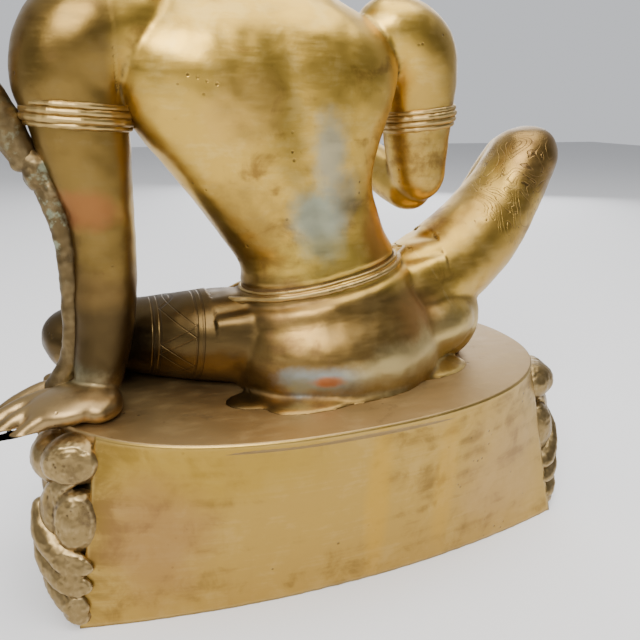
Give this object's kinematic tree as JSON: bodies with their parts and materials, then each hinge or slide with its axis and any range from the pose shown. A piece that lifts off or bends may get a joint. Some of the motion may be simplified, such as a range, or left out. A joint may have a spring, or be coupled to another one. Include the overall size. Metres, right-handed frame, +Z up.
{
  "type": "seated brass figure on a lotus base",
  "caption": "Seated cast brass figure leaning on one straight arm, one knee raised, on a hollow double lotus base with a flat plain back and a lotus beside the arm.",
  "frame": {"origin": "middle of the whole statue's footprint, on the floor", "axes": "+Z up, the figure faces -Y, its left hand side is +X"},
  "size_m": [0.2858, 0.1434, 0.3236],
  "materials": {
    "deck_brass": "aged brass, brushed and browned",
    "seat_brass": "aged brass, ground and brushed",
    "petal_brass": "aged brass, dark in the recesses",
    "body_brass": "aged brass, satin with file marks and patina",
    "limb_brass": "aged brass, satin with file marks",
    "ornament_brass": "aged brass, worn bright on the ridges",
    "lotus_brass": "dark aged brass with green residue at the joints",
    "face_brass": "aged brass, rubbed smooth",
    "hair_brass": "dark aged brass",
    "fixing_brass": "plain turned brass"
  },
  "bodies": {
    "root": {"seat_band": "seat_brass", "back_plate": "seat_brass", "deck_plate": "deck_brass", "lower_petals": "petal_brass", "middle_petals": "petal_brass", "upper_petals": "petal_brass", "bead_row": "petal_brass", "fixing_studs": "fixing_brass", "fixing_washers": "fixing_brass", "fixing_nuts": "fixing_brass", "hips": "body_brass", "torso": "body_brass", "waist_collar": "fixing_brass", "waistband": "ornament_brass", "left_leg": "limb_brass", "left_foot": "limb_brass", "left_anklet": "ornament_brass", "right_leg": "limb_brass", "right_foot": "limb_brass", "right_anklet": "ornament_brass", "left_arm": "limb_brass", "left_hand": "limb_brass", "left_armlet": "ornament_brass", "right_arm": "limb_brass", "right_hand": "limb_brass", "right_armlet": "ornament_brass", "head": "face_brass", "hair_cap": "hair_brass", "topknot": "hair_brass", "topknot_band": "ornament_brass", "diadem": "ornament_brass", "left_earring": "ornament_brass", "right_earring": "ornament_brass", "necklace": "ornament_brass", "lotus_stem": "lotus_brass", "stem_node": "lotus_brass", "leaf_stalk": "lotus_brass", "lotus_pod": "lotus_brass", "lotus_petals": "lotus_brass", "joint_dowels": "fixing_brass"}
  },
  "joints": []
}
